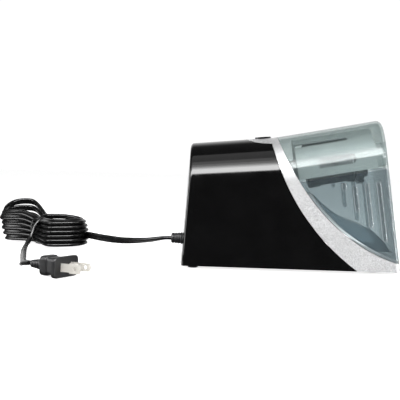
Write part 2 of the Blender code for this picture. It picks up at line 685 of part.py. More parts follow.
# ------------------------------------------------------------------ cord, hank and plug
def smooth_route(route, spacing):
    """Even points along a Catmull-Rom curve through the route."""
    knots = [Vector(p) for p in route]
    ends = [2 * knots[0] - knots[1]] + knots + [2 * knots[-1] - knots[-2]]
    fine = []
    for a, b, c, d in zip(ends, ends[1:], ends[2:], ends[3:]):
        for k in range(24):
            t = k / 24
            fine.append(0.5 * (2 * b + (c - a) * t + (2 * a - 5 * b + 4 * c - d) * t * t
                               + (3 * b - a - 3 * c + d) * t ** 3))
    fine.append(knots[-1])
    lengths = [0.0]
    for p, q in zip(fine, fine[1:]):
        lengths.append(lengths[-1] + (q - p).length)
    count = max(2, round(lengths[-1] / spacing))
    points = []
    at = 0
    for k in range(count + 1):
        want = lengths[-1] * k / count
        while at < len(fine) - 2 and lengths[at + 1] < want:
            at += 1
        share = (want - lengths[at]) / max(lengths[at + 1] - lengths[at], 1e-9)
        points.append(fine[at].lerp(fine[at + 1], min(max(share, 0.0), 1.0)))
    return points


def cord_tube(name, route, mat):
    points = smooth_route(route, 7.0)
    curve = bpy.data.curves.new(name, "CURVE")
    curve.dimensions = "3D"
    curve.bevel_depth = CORD_R * MM
    curve.bevel_resolution = 2
    curve.resolution_u = 1
    curve.render_resolution_u = 0
    curve.use_fill_caps = True
    spline = curve.splines.new("POLY")
    spline.points.add(len(points) - 1)
    for knot, point in zip(spline.points, points):
        knot.co = (*(point * MM), 1.0)
    curve.materials.append(mat)
    item = bpy.data.objects.new(name, curve)
    bpy.context.scene.collection.objects.link(item)
    return item


def hank_outline(lobe_r, waist):
    """Plan outline of the bound hank: two round lobes drawn in to a waist."""
    ends = [Vector(p) for p in HANK_LOBES]
    along = (ends[1] - ends[0]).normalized()
    across = Vector((-along.y, along.x))
    middle = (ends[0] + ends[1]) / 2
    half = (ends[1] - ends[0]).length / 2
    side = []
    for k in range(10):
        a = math.radians(180 - 12.0 * k)
        side.append((-half + lobe_r * math.cos(a), lobe_r * math.sin(a)))
    turn = side[-1]
    for k in range(1, 6):
        f = k / 6
        ease = f * f * (3 - 2 * f)
        side.append((turn[0] * (1 - f), turn[1] + (waist - turn[1]) * ease))
    side.append((0.0, waist))
    quarter = side + [(-s, w) for s, w in side[-2::-1]]
    loop = quarter + [(s, -w) for s, w in quarter[-2:0:-1]]
    return [tuple(middle + along * s + across * w) for s, w in loop], middle, along


def make_hank(cord_mat, tie_mat):
    outline, middle, along = hank_outline(HANK_LOBE_R, HANK_WAIST)
    hank = prism_z("cord_hank", outline, HANK_Z, cord_mat)
    turn = math.atan2(along.y, along.x)
    tie_axis = empty("tie_axis", (middle.x, middle.y, 0.0), None, (0.0, 0.0, turn))
    band = (1.6, 0.9)
    outside = [(-HANK_WAIST - 0.2, 0.2), (HANK_WAIST + 0.2, 0.2), (HANK_WAIST + 0.2, HANK_Z[1] + 0.3),
               (-HANK_WAIST - 0.2, HANK_Z[1] + 0.3)]
    inside = [(y * 0.91, 1.3 if z < 5 else z - 1.1) for y, z in outside]
    tie = prism_x("cord_tie", outside, (-band[0], band[0]), tie_mat, tie_axis)
    cut(tie, prism_x("tie_window", inside, (-5.0, 5.0), None, tie_axis))
    groove = prism_x("tie_groove", [(y * 1.4, z * 1.4 - 3.0) for y, z in outside],
                     (-band[0] - GAP, band[0] + GAP), None, tie_axis)
    core = prism_x("tie_core", [(y * 0.975, z + (0.35 if z < 5 else -0.35)) for y, z in inside],
                   (-8.0, 8.0), None, tie_axis)
    cut(groove, core)
    cut(hank, groove)
    return hank


def make_strain_relief(mat):
    profile = [(-105.0, 0.0), (-105.0, 4.8), (-95.6, 5.7), (-95.4, 4.5), (-91.7, 4.5), (-91.5, 6.4),
               (-89.6, 6.4), (-89.6, 4.2), (-84.0, 3.6), (-84.0, 0.0)]
    return turned("strain_relief", profile, mat, None, 24, (0.0, GLAND_Z))


def make_plug(body_mat, blade_mat):
    """Two-blade flat plug lying on its long side's edge, blades towards the front."""
    plug = empty("plug_place", (*PLUG_AT, PLUG_BASE), None, (0.0, 0.0, PLUG_TURN))
    mid = PLUG_H / 2
    plate = rounded_prism("plug_body", 15.0, mid, (-4.0, 0.0), 3.0, body_mat, plug)
    join(plate, rounded_prism("plug_trunk", 9.0, mid * 0.86, (-15.0, -3.0), 2.5, None, plug))
    join(plate, rounded_prism("plug_collar", 8.0, mid * 0.98, (-21.0, -14.0), 3.0, None, plug))
    join(plate, turned("plug_tail", [(-33.0, 0.0), (-33.0, 3.6), (-20.0, 5.4), (-20.0, 0.0)], None, plug, 16,
                       (0.0, mid)))
    for name, y, width, shoulder in (("plug_blade_neutral", -6.35, 6.35, True),
                                     ("plug_blade_line", 6.35, 6.35, False)):
        cut(plate, box(name + "_slot", (-9.0, 3.0), (y - 0.75 - GAP, y + 0.75 + GAP),
                       (mid - width / 2 - GAP, mid + width / 2 + GAP), None, plug))
        tip = 3.97 if shoulder else width / 2
        outline = [(-8.6, mid - width / 2), (7.5, mid - width / 2), (8.2, mid - tip), (16.2, mid - tip),
                   (17.5, mid - tip + 1.4), (17.5, mid + tip - 1.4), (16.2, mid + tip), (8.2, mid + tip),
                   (7.5, mid + width / 2), (-8.6, mid + width / 2)]
        blade = prism_y(name, outline, (y - 0.75, y + 0.75), blade_mat, plug)
        blade.data.name = name
        cut(blade, hole_y(name + "_hole", (13.0, mid), 1.6, (y - 3.0, y + 3.0), plug))


def hole_y(name, at, radius, y, parent):
    ring = arc(at, radius, 0.0, 360.0 - 360.0 / 16, 15)
    return prism_y(name, ring, y, None, parent)


def rounded_prism(name, half_y, half_z, x, radius, mat, parent):
    """A rounded rectangle in YZ, centred on the plug's mid height, extruded along X."""
    ring = []
    mid = PLUG_H / 2
    for sy, sz, start in ((1, 1, 0), (-1, 1, 90), (-1, -1, 180), (1, -1, 270)):
        centre = (sy * (half_y - radius), mid + sz * (half_z - radius))
        ring += arc(centre, radius, start, start + 90, 4)
    return prism_x(name, ring, x, mat, parent)


# ------------------------------------------------------------------ build
clear_scene()
AXIS = empty("pencil_axis", (0.0, 0.0, AXIS_Z), None, (0.0, -AXIS_TILT, 0.0))
IDLER_AXIS = empty("idler_axis", (0.0, 0.0, -IDLER_DROP), AXIS)
MOTOR_AXIS = empty("motor_axis", (0.0, 0.0, -MOTOR_DROP), AXIS)

GLOSS_BLACK = material("gloss_black", (0.012, 0.012, 0.013), 0.12)
SATIN_SILVER = material("satin_silver", (0.72, 0.73, 0.75), 0.38, 0.4)
SMOKE_CLEAR = material("smoke_clear", (0.25, 0.33, 0.34), 0.06, 0.0, 0.45)
PALE_GREY = material("pale_grey", (0.55, 0.58, 0.58), 0.45)
DARK_PLASTIC = material("dark_plastic", (0.03, 0.03, 0.032), 0.5)
RUBBER = material("rubber", (0.02, 0.02, 0.02), 0.8)
STEEL = material("steel", (0.55, 0.55, 0.56), 0.3, 1.0)
CAST_ZINC = material("cast_zinc", (0.5, 0.5, 0.52), 0.35, 1.0)
BRASS = material("brass", (0.7, 0.52, 0.25), 0.35, 1.0)
GEAR_PLASTIC = material("gear_plastic", (0.75, 0.74, 0.7), 0.5)
BOARD_GREEN = material("board_green", (0.03, 0.18, 0.08), 0.5)
CORD_BLACK = material("cord_black", (0.015, 0.015, 0.016), 0.35)
BLADE_METAL = material("blade_metal", (0.75, 0.7, 0.6), 0.25, 1.0)

make_housing(GLOSS_BLACK)
make_band(SATIN_SILVER)
oval("top_badge", 0.0, (-0.8, 1.3), GLOSS_BLACK)
make_base(DARK_PLASTIC, RUBBER, STEEL)
make_dome(SMOKE_CLEAR)
make_bin(SMOKE_CLEAR)
make_cutter_head(PALE_GREY, STEEL, CAST_ZINC, DARK_PLASTIC)
make_gearbox(STEEL, BRASS, GEAR_PLASTIC)
make_motor(STEEL, BRASS, DARK_PLASTIC)
make_electrics(DARK_PLASTIC, BOARD_GREEN, STEEL)
make_strain_relief(CORD_BLACK)
cord_tube("power_cord", CORD_ROUTE, CORD_BLACK)
make_hank(CORD_BLACK, RUBBER)
cord_tube("cord_tail", TAIL_ROUTE, CORD_BLACK)
make_plug(CORD_BLACK, BLADE_METAL)
bpy.context.view_layer.update()
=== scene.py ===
"""Visual model of the electric pencil sharpener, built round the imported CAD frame.

Lengths are millimetres (X towards the pencil port, Z up) and become metres as each mesh is made.  After
the shared helpers come the camera, the materials, the cord with its tie, strain relief and plug, the
casing's pieces, and last the floor and lights.
"""
import json
import math

import bmesh
import bpy
from mathutils import Matrix, Vector
from mathutils.geometry import interpolate_bezier


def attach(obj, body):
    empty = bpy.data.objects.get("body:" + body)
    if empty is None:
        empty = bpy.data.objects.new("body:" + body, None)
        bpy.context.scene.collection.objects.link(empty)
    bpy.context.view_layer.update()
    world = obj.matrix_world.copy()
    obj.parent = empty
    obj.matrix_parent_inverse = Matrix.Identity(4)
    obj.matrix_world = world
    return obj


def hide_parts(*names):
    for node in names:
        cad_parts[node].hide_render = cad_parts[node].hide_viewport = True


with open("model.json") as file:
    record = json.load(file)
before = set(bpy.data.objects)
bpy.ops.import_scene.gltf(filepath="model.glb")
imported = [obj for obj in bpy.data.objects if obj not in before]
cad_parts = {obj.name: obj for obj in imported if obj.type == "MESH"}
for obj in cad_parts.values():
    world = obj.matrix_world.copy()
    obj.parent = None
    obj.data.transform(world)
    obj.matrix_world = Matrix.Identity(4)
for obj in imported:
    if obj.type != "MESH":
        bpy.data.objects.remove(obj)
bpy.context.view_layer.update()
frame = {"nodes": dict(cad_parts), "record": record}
NODES = frame["nodes"]
MM = 0.001

# ---- camera ----
CAMERA_AT = (-37.07, -757.56, 90.19)
CAMERA_YAW = math.radians(3.325)
CAMERA_ROLL = math.radians(1.451)
CAMERA_LENS = 75.0
CAMERA_SHIFT = -0.0921

# ---- casing, as in the CAD apart from the bin's floor and the liner's end plate, which are only here ----
BASE_Z = 2.0
REAR_X = -92.5
FRONT_X = 92.5
LENGTH = FRONT_X - REAR_X
FRONT_FOOT_Z = 9.5
REAR_LEAN = 0.0664
FRONT_LEAN = 0.1335
END_BULGE = 3.5
BULGE_HALF = 44.0             # half the width over which the end faces bulge
REAR_ROUND = 2.4
FRONT_ROUND = 4.5
CROWN = [(0.0, 108.2), (0.44, 115.1), (1.0, 132.9)]
SPRING = [(0.0, 70.0), (0.44, 75.0), (0.54, 76.6), (1.0, 90.6)]
HALF_BASE = [(0.0, 46.5), (1.0, 48.0)]
HALF_SPRING = [(0.0, 45.2), (1.0, 46.6)]
WALL = 2.4
GAP = 0.3
HOLLOW_FLOOR = -5.0           # cavities run down past the open underside
ARCH_STEPS = 36
BAND_REAR_CENTRE = (166.3, 156.3)
BAND_REAR_RADIUS = 189.1
BAND_FRONT = [(-13.0, 117.0), (-2.0, 85.0), (30.0, 26.0), (93.0, 8.5)]
WEB = 2.4
SEAM_Z0 = 75.2
SEAM_SLOPE = 0.181
BADGE_X = -24.5
BADGE_T = 0.44 * (BADGE_X + 88.0) / 77.0
BADGE_HALF = (7.2, 7.6)
BADGE_TILT = math.radians(5.0)
BIN_GAP = 0.6
BIN_WALL = 2.0
BIN_BACK = 2.8                # front of the bin's back wall, from the band's front edge
BIN_RIBS = [(44.0, 76.5, 70.0), (53.0, 75.5, 51.5), (63.0, 77.5, 39.0), (73.0, 78.5, 27.5)]
GRIP_R = 1.9
BIN_FLOOR = [(18.4, 66.4), (26.0, 59.0), (35.6, 51.6), (43.3, 47.0), (51.0, 43.6), (60.3, 40.4),
             (68.0, 37.3), (74.0, 32.4), (79.0, 27.5), (85.0, 19.0)]
AXIS_Z = 87.0
AXIS_TILT = math.radians(10.5)
SHROUD_R = 25.0
SHROUD_WALL = 1.6
SHROUD_BASE = -10.6
SHROUD_SPAN = (6.0, 75.4)
SHROUD_END = (6.0, 7.4)
GLAND_Z = 21.5
GLAND_BORE = 4.8
PLUNGER_Z = 40.0
PLUNGER_BORE = 3.3
BUSHING_BORE = 7.3
SHAFT_BORE = 7.8
GUIDE_BORE = 11.0
BOSS_R = 4.0
PILOT_R = 1.75
SCREWS = [(-74.0, 39.0), (-74.0, -39.0), (12.0, 39.5), (12.0, -39.5)]

# ---- cutting tools, which reach well outside the casing ----
CUT_Y = (-80.0, 80.0)
CUT_REAR = -130.0
CUT_FRONT = 160.0
CUT_FOOT = -30.0
CUT_TOP = 160.0

# ---- cord and plug: the CAD's exit, hank and far end, with a finer route for the cord ----
CORD_HALF_WIDTH = 3.5
CORD_HALF_THICK = 1.7
CORD_ROUTE = [(-105.5, 0.0, 21.5), (-112.0, 0.8, 21.2), (-130.0, 14.0, 17.5), (-155.0, 38.0, 14.2),
              (-178.0, 62.0, 13.6), (-196.0, 79.0, 14.4)]
LEAD_IN = [(-203.5, 97.0, 12.5), (-214.0, 113.5, 8.5), (-229.0, 127.5, 5.4), (-246.0, 139.5, 3.6)]
TAIL_ROUTE = [(-246.5, 106.0, 30.4), (-250.0, 99.0, 29.6), (-253.5, 93.0, 24.5), (-257.0, 89.0, 15.0),
              (-259.0, 84.0, 7.5), (-258.6, 74.0, 4.0), (-254.8, 54.0, 3.8), (-247.5, 22.0, 3.8),
              (-238.3, -14.0, 3.8), (-229.6, -46.0, 3.9), (-223.6, -69.0, 4.2), (-218.8, -86.0, 5.4),
              (-213.6, -99.5, 7.0), (-206.3, -109.5, 8.3)]
HANK_LOBES = [(-224.0, 86.0), (-284.0, 150.0)]
HANK_TURNS = 6
HANK_BASE = 3.4
HANK_PITCH = 4.35
HANK_WAIST = 7.6
HANK_TWIST = -35.0            # the flat cord lies in the turns like shingles
FAR_TWIST = -27.0             # and stand more on edge where the far lobe fans out
FAR_REACH = [-7.0, -5.0, -2.5, 0.0, 2.0, 1.0]
FAR_RADIUS = [19.0, 20.2, 20.6, 19.6, 20.6, 19.0]
FAR_END_LIFT = [0.8, 3.8, 6.8, 9.7, 12.5, 15.2]
FAR_SIDE_LIFT = [0.0, 1.0, 2.0, 3.2, 4.4, 5.6]
NEAR_RADIUS = [20.6, 21.6, 20.4, 21.2, 20.2, 19.4]
TAIL_LENGTH = 245.0
TIE_HALF = (12.4, 14.0)
TIE_Z = 14.6
PLUG_AT = (-174.0, -126.0)
PLUG_TURN = math.radians(-25.0)
PLUG_BASE = 0.3
PLUG_H = 16.0
BLADE_Y = 6.35
BLADE_SLOT_HALF = (1.05, 3.55)

# ---- lights ----
# nested strips as lowest and highest elevation and radiance; their lower edges almost meet, so that
# the long highlight fades upwards
STRIPS = [(36.0, 49.0, 8.0), (35.5, 53.0, 7.0), (35.0, 57.0, 4.0), (34.0, 63.0, 2.0), (33.0, 72.0, 1.3),
          (33.0, 95.0, 0.9)]
FILL_FADE = {"From Min": 0.66, "From Max": 0.95, "To Min": 0.09, "To Max": 0.95}


# ------------------------------------------------------------------ mesh helpers
def add_object(name, bm, place=None, smooth=32.0):
    """Link a bmesh in millimetres as a named object in metres."""
    if place is not None:
        bmesh.ops.transform(bm, matrix=place, verts=bm.verts)
    bmesh.ops.scale(bm, vec=(MM, MM, MM), verts=bm.verts)
    bmesh.ops.remove_doubles(bm, verts=bm.verts, dist=1e-7)
    bmesh.ops.recalc_face_normals(bm, faces=bm.faces)
    mesh = bpy.data.meshes.new(name)
    bm.to_mesh(mesh)
    bm.free()
    mesh.shade_smooth()
    mesh.set_sharp_from_angle(angle=math.radians(smooth))
    item = bpy.data.objects.new(name, mesh)
    bpy.context.scene.collection.objects.link(item)
    return item


def loft(rings, caps=True, closed=False):
    """Skin rings of equal length; closed joins the last ring to the first."""
    bm = bmesh.new()
    rows = [[bm.verts.new(point) for point in ring] for ring in rings]
    pairs = list(zip(rows, rows[1:]))
    if closed:
        pairs.append((rows[-1], rows[0]))
    count = len(rows[0])
    for here, there in pairs:
        for k in range(count):
            j = (k + 1) % count
            bm.faces.new((here[k], here[j], there[j], there[k]))
    if caps and not closed:
        bm.faces.new(rows[0])
        bm.faces.new(rows[-1])
    return bm


def prism(name, outline, span, axis, place=None):
    """Extrude a 2-D outline along X, Y or Z."""
    order = {"X": lambda p, h: (h, p[0], p[1]),
             "Y": lambda p, h: (p[0], h, p[1]),
             "Z": lambda p, h: (p[0], p[1], h)}
    return add_object(name, loft([[order[axis](p, h) for p in outline] for h in span]), place)


def turned(name, profile, place=None, steps=48):
    """Turn a (u, r) profile about the X axis."""
    rings = [[(u, r * math.cos(2 * math.pi * k / steps), r * math.sin(2 * math.pi * k / steps))
              for k in range(steps)] for u, r in profile]
    return add_object(name, loft(rings), place)


def arc(centre, radius, start, stop, steps):
    """Points along an arc, with the angles in degrees."""
    return [(centre[0] + radius * math.cos(math.radians(start + (stop - start) * k / steps)),
             centre[1] + radius * math.sin(math.radians(start + (stop - start) * k / steps)))
            for k in range(steps + 1)]


def apply_modifiers(item):
    """Replace the mesh by the evaluated one and drop the modifiers."""
    graph = bpy.context.evaluated_depsgraph_get()
    mesh = bpy.data.meshes.new_from_object(item.evaluated_get(graph))
    old = item.data
    item.modifiers.clear()
    item.data = mesh
    bpy.data.meshes.remove(old)
    return item


def combine(target, operation, *tools):
    """Apply Boolean steps and remove their tools."""
    for tool in tools:
        step = target.modifiers.new(tool.name, "BOOLEAN")
        step.operation = operation
        step.object = tool
        step.solver = "EXACT"
    apply_modifiers(target)
    for tool in tools:
        bpy.data.objects.remove(tool, do_unlink=True)
    return target


def soften(item, width, angle=35.0, smooth=40.0):
    """Round the edges a little, so that they catch the light."""
    step = item.modifiers.new("edge", "BEVEL")
    step.width = width * MM
    step.segments = 2
    step.limit_method = "ANGLE"
    step.angle_limit = math.radians(angle)
    step.use_clamp_overlap = True
    step.miter_outer = "MITER_ARC"
    apply_modifiers(item)
    item.data.shade_smooth()
    item.data.set_sharp_from_angle(angle=math.radians(smooth))
    even = item.modifiers.new("even_normals", "WEIGHTED_NORMAL")
    even.keep_sharp = True
    even.weight = 80
    return apply_modifiers(item)


def table(t, rows):
    """Linear interpolation in (t, value) rows, held constant past the ends."""
    for (t0, v0), (t1, v1) in zip(rows, rows[1:]):
        if t <= t1:
            return v0 + (v1 - v0) * max(t - t0, 0.0) / (t1 - t0)
    return rows[-1][1]


def smooth_route(route, spacing):
    """Even points along a Catmull-Rom curve through the route."""
    knots = [Vector(p) for p in route]
    ends = [2 * knots[0] - knots[1]] + knots + [2 * knots[-1] - knots[-2]]
    fine = []
    for a, b, c, d in zip(ends, ends[1:], ends[2:], ends[3:]):
        for k in range(24):
            t = k / 24
            fine.append(0.5 * (2 * b + (c - a) * t + (2 * a - 5 * b + 4 * c - d) * t * t
                               + (3 * b - a - 3 * c + d) * t ** 3))
    fine.append(knots[-1])
    lengths = [0.0]                      # run length at each fine point
    for p, q in zip(fine, fine[1:]):
        lengths.append(lengths[-1] + (q - p).length)
    count = max(2, round(lengths[-1] / spacing))
    points = []
    at = 0
    for k in range(count + 1):
        want = lengths[-1] * k / count
        while at < len(fine) - 2 and lengths[at + 1] < want:
            at += 1
        share = (want - lengths[at]) / max(lengths[at + 1] - lengths[at], 1e-9)
        points.append(fine[at].lerp(fine[at + 1], min(max(share, 0.0), 1.0)))
    return points


# ------------------------------------------------------------------ camera
def make_camera():
    """A level camera with a little roll, at the reference viewing angle."""
    data = bpy.data.cameras.new("camera")
    data.lens = CAMERA_LENS
    data.sensor_width = 36.0
    data.shift_y = CAMERA_SHIFT
    data.clip_start = 0.01
    data.clip_end = 50.0
    item = bpy.data.objects.new("camera", data)
    bpy.context.scene.collection.objects.link(item)
    forward = Vector((-math.sin(CAMERA_YAW), math.cos(CAMERA_YAW), 0.0))
    level = Vector((math.cos(CAMERA_YAW), math.sin(CAMERA_YAW), 0.0))
    up = math.cos(CAMERA_ROLL) * Vector((0, 0, 1)) - math.sin(CAMERA_ROLL) * level
    right = math.cos(CAMERA_ROLL) * level + math.sin(CAMERA_ROLL) * Vector((0, 0, 1))
    turn = Matrix((right, up, -forward)).transposed()
    item.matrix_world = Matrix.Translation(Vector(CAMERA_AT) * MM) @ turn.to_4x4()
    bpy.context.scene.camera = item


make_camera()


# ------------------------------------------------------------------ materials
def new_material(name):
    mat = bpy.data.materials.new(name)
    mat.use_nodes = True
    return mat, mat.node_tree, mat.node_tree.nodes["Principled BSDF"]


def link(tree, source, socket):
    tree.links.new(source, socket)


def texture(tree, kind, scale, **sockets):
    """A procedural texture on object coordinates."""
    coords = tree.nodes.get("coords") or tree.nodes.new("ShaderNodeTexCoord")
    coords.name = "coords"
    node = tree.nodes.new(kind)
    node.inputs["Scale"].default_value = scale
    for key, value in sockets.items():
        node.inputs[key].default_value = value
    link(tree, coords.outputs["Object"], node.inputs["Vector"])
    return node


def ramp(tree, source, low, high, start=0.35, stop=0.65):
    """Map a grey value to a range of colours, or of greys where low and high are numbers."""
    node = tree.nodes.new("ShaderNodeValToRGB")
    for element, position, shade in zip(node.color_ramp.elements, (start, stop), (low, high)):
        element.position = position
        element.color = (*shade, 1.0) if isinstance(shade, tuple) else (shade, shade, shade, 1.0)
    link(tree, source, node.inputs["Fac"])
    return node.outputs["Color"]


def bump(tree, shader, source, strength, distance):
    node = tree.nodes.new("ShaderNodeBump")
    node.inputs["Strength"].default_value = strength
    node.inputs["Distance"].default_value = distance * MM
    link(tree, source, node.inputs["Height"])
    link(tree, node.outputs["Normal"], shader.inputs["Normal"])


def plastic(name, low, high, rough, grain, depth, ior=1.45, metal=0.0):
    """Moulded plastic or metal: mottled colour, uneven gloss and a fine surface grain."""
    mat, tree, shader = new_material(name)
    cloud = texture(tree, "ShaderNodeTexNoise", 60.0, Detail=4.0, Roughness=0.6)
    fine = texture(tree, "ShaderNodeTexNoise", grain, Detail=3.0, Roughness=0.55)
    link(tree, ramp(tree, cloud.outputs["Fac"], low, high), shader.inputs["Base Color"])
    link(tree, ramp(tree, cloud.outputs["Fac"], *rough), shader.inputs["Roughness"])
    bump(tree, shader, fine.outputs["Fac"], 0.5, depth)
    shader.inputs["IOR"].default_value = ior
    shader.inputs["Metallic"].default_value = metal
    return mat


def silver_paint():
    """Satin silver paint with a fine metal-flake sparkle."""
    mat, tree, shader = new_material("satin_silver")
    flake = texture(tree, "ShaderNodeTexVoronoi", 1500.0)
    cloud = texture(tree, "ShaderNodeTexNoise", 900.0, Detail=2.0, Roughness=0.7)
    sparkle = ramp(tree, flake.outputs["Color"], (0.43, 0.432, 0.438), (0.72, 0.723, 0.73), 0.15, 0.95)
    link(tree, sparkle, shader.inputs["Base Color"])
    link(tree, ramp(tree, cloud.outputs["Fac"], 0.30, 0.46), shader.inputs["Roughness"])
    bump(tree, shader, cloud.outputs["Fac"], 0.35, 0.05)
    shader.inputs["Metallic"].default_value = 0.35
    shader.inputs["IOR"].default_value = 1.45
    return mat


def smoke(name, tint, body, haze, fade=4.0):
    """See-through tinted plastic.

    The surface shows its gloss and body colour more as it turns away from the viewer (fade), and by
    a constant share everywhere (haze).  The rest is a plain tint.
    """
    mat, tree, shader = new_material(name)
    output = tree.nodes["Material Output"]
    clear = tree.nodes.new("ShaderNodeBsdfTransparent")
    clear.inputs["Color"].default_value = (*tint, 1.0)
    shader.inputs["Base Color"].default_value = (*body, 1.0)
    shader.inputs["IOR"].default_value = 2.15
    cloud = texture(tree, "ShaderNodeTexNoise", 35.0, Detail=3.0, Roughness=0.5)
    link(tree, ramp(tree, cloud.outputs["Fac"], 0.045, 0.09), shader.inputs["Roughness"])
    bump(tree, shader, cloud.outputs["Fac"], 0.12, 0.08)
    edge = tree.nodes.new("ShaderNodeLayerWeight")
    steep = tree.nodes.new("ShaderNodeMath")
    steep.operation = "POWER"
    steep.inputs[1].default_value = fade
    link(tree, edge.outputs["Facing"], steep.inputs[0])
    share = tree.nodes.new("ShaderNodeMath")
    share.operation = "MULTIPLY_ADD"
    share.use_clamp = True
    share.inputs[1].default_value = 0.85
    share.inputs[2].default_value = haze
    link(tree, steep.outputs["Value"], share.inputs[0])
    mix = tree.nodes.new("ShaderNodeMixShader")
    link(tree, share.outputs["Value"], mix.inputs["Fac"])
    link(tree, clear.outputs["BSDF"], mix.inputs[1])
    link(tree, shader.outputs["BSDF"], mix.inputs[2])
    link(tree, mix.outputs["Shader"], output.inputs["Surface"])
    return mat


MATS = {
    "gloss_black": plastic("gloss_black", (0.0016, 0.0016, 0.0018), (0.0028, 0.0028, 0.003), (0.07, 0.11),
                           700.0, 0.005, ior=1.4),
    "satin_silver": silver_paint(),
    "dome": smoke("smoke_dome", (0.84, 0.875, 0.87), (0.30, 0.36, 0.36), 0.12),
    "bin": smoke("smoke_bin", (0.742, 0.784, 0.793), (0.22, 0.27, 0.29), 0.12),
    # bin floor: a darker tint and body colour than the bin, painted shade for the floor seen at a grazing
    # angle
    "bin_floor": smoke("smoke_floor_painted_shade", (0.66, 0.73, 0.77), (0.06, 0.08, 0.10), 0.16),
    # grip ribs: the near-white body colour, shown where the ribs turn away, is a painted highlight for their
    # bright outlines
    "grip": smoke("smoke_grip_painted_edge_highlight", (0.76, 0.79, 0.80), (0.94, 0.95, 0.96), 0.03, 1.7),
    "pale_grey": plastic("pale_grey", (0.62, 0.65, 0.655), (0.70, 0.73, 0.73), (0.34, 0.46), 900.0, 0.01),
    "dark_plastic": plastic("dark_plastic", (0.018, 0.018, 0.019), (0.032, 0.032, 0.034), (0.45, 0.6),
                            1400.0, 0.03),
    "bulkhead": plastic("bulkhead_dark", (0.02, 0.026, 0.034), (0.032, 0.04, 0.05), (0.3, 0.42),
                        1400.0, 0.02),
    "rubber": plastic("rubber", (0.012, 0.012, 0.012), (0.022, 0.022, 0.022), (0.7, 0.85), 1800.0, 0.04),
    "steel": plastic("steel", (0.46, 0.46, 0.47), (0.6, 0.6, 0.61), (0.24, 0.4), 2500.0, 0.01, metal=1.0),
    "cast_zinc": plastic("cast_zinc", (0.38, 0.38, 0.4), (0.52, 0.52, 0.54), (0.35, 0.5), 700.0, 0.06,
                         metal=1.0),
    "brass": plastic("bearing_bronze", (0.30, 0.24, 0.17), (0.42, 0.34, 0.24), (0.35, 0.5), 1500.0, 0.02,
                     metal=1.0),
    "gear_plastic": plastic("gear_plastic", (0.68, 0.67, 0.62), (0.78, 0.77, 0.73), (0.4, 0.55), 900.0, 0.02),
    "board_green": plastic("board_green", (0.012, 0.10, 0.04), (0.03, 0.18, 0.07), (0.3, 0.5), 600.0, 0.03),
    "cord": plastic("cord_black", (0.0018, 0.0018, 0.002), (0.0045, 0.0045, 0.0048), (0.2, 0.3), 1300.0,
                    0.02),
    "plug": plastic("plug_black", (0.007, 0.007, 0.008), (0.013, 0.013, 0.0145), (0.36, 0.5), 1500.0, 0.03),
    "blade_metal": plastic("blade_nickel", (0.78, 0.75, 0.69), (0.88, 0.86, 0.81), (0.22, 0.34), 1200.0,
                           0.01, metal=0.35),
}


def finish_piece(item, mat, body="casing", replaces=()):
    """Give a new piece its material, slot and body, and hide the CAD nodes it stands for."""
    item.data.materials.clear()
    item.data.materials.append(MATS[mat])
    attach(item, body)
    if replaces:
        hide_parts(*replaces)
    return item


# ------------------------------------------------------------------ cord, tie, strain relief and plug
def hank_frame():
    """The hank's middle, its direction and the one across it, and half the distance of its lobes."""
    ends = [Vector(p) for p in HANK_LOBES]
    along = (ends[1] - ends[0]).normalized()
    across = Vector((-along.y, along.x))
    return (ends[0] + ends[1]) / 2, along, across, (ends[1] - ends[0]).length / 2


def hank_point(s, w, z):
    """A point s along the hank and w across it, from its middle."""
    middle, along, across, _ = hank_frame()
    spot = middle + along * s + across * w
    return (spot.x, spot.y, z)


def hank_turns():
    """The wound turns: each goes out on the far side, round the far lobe, back on the near side and
    round the near lobe.  The upper turns rise towards the far lobe's end."""
    half = hank_frame()[3]
    points = []
    for turn in range(HANK_TURNS):
        base = HANK_BASE + HANK_PITCH * turn
        lift = FAR_END_LIFT[turn]
        side = FAR_SIDE_LIFT[turn]
        centre = half + FAR_REACH[turn]
        if turn:
            points.append(hank_point(-24.0, -12.8, base - 0.2))
            points.append(hank_point(-2.0, -HANK_WAIST, base))
        points.append(hank_point(19.0, -12.6, base + 0.3 * lift + 0.4 * side))
        for angle in (-75, -40, 0, 40, 75):
            a = math.radians(angle)
            reach = 0.55 + 0.45 * math.cos(a)
            height = base + HANK_PITCH * (angle + 75) / 600.0 + lift * reach - side * math.sin(a)
            points.append(hank_point(centre + FAR_RADIUS[turn] * math.cos(a), FAR_RADIUS[turn] * math.sin(a),
                                     max(height, HANK_BASE)))
        height = base + HANK_PITCH * 0.42
        points.append(hank_point(20.0, 12.6, height + 0.35 * lift))
        points.append(hank_point(-1.0, HANK_WAIST, height + 0.2))
        points.append(hank_point(-23.0, 13.4, height + 0.4))
        ring = (105, 140, 180, 220, 255) if turn < HANK_TURNS - 1 else (105, 140, 180, 215)
        for angle in ring:
            a = math.radians(angle)
            height = base + HANK_PITCH * (0.5 + 0.4 * (angle - 105) / 150.0)
            points.append(hank_point(-half + NEAR_RADIUS[turn] * math.cos(a), NEAR_RADIUS[turn] * math.sin(a),
                                     height))
    # the last turn crosses over the top to the tail
    points.append(hank_point(-48.0, -19.5, 28.6))
    points.append(hank_point(-34.0, -18.6, 29.6))
    points.append(hank_point(-19.0, -12.0, 30.4))
    return points


def cord_section():
    """Outline of a flat two-core cord with a shallow groove on each face."""
    points = []
    for k in range(24):
        a = 2 * math.pi * k / 24
        x = CORD_HALF_WIDTH * math.cos(a)
        lobe = CORD_HALF_THICK ** 2 - (abs(x) - (CORD_HALF_WIDTH - CORD_HALF_THICK)) ** 2
        y = max(math.sqrt(max(lobe, 0.0)), 1.3 if abs(x) < 1.8 else 0.0)
        points.append((x, math.copysign(y, math.sin(a))))
    return points


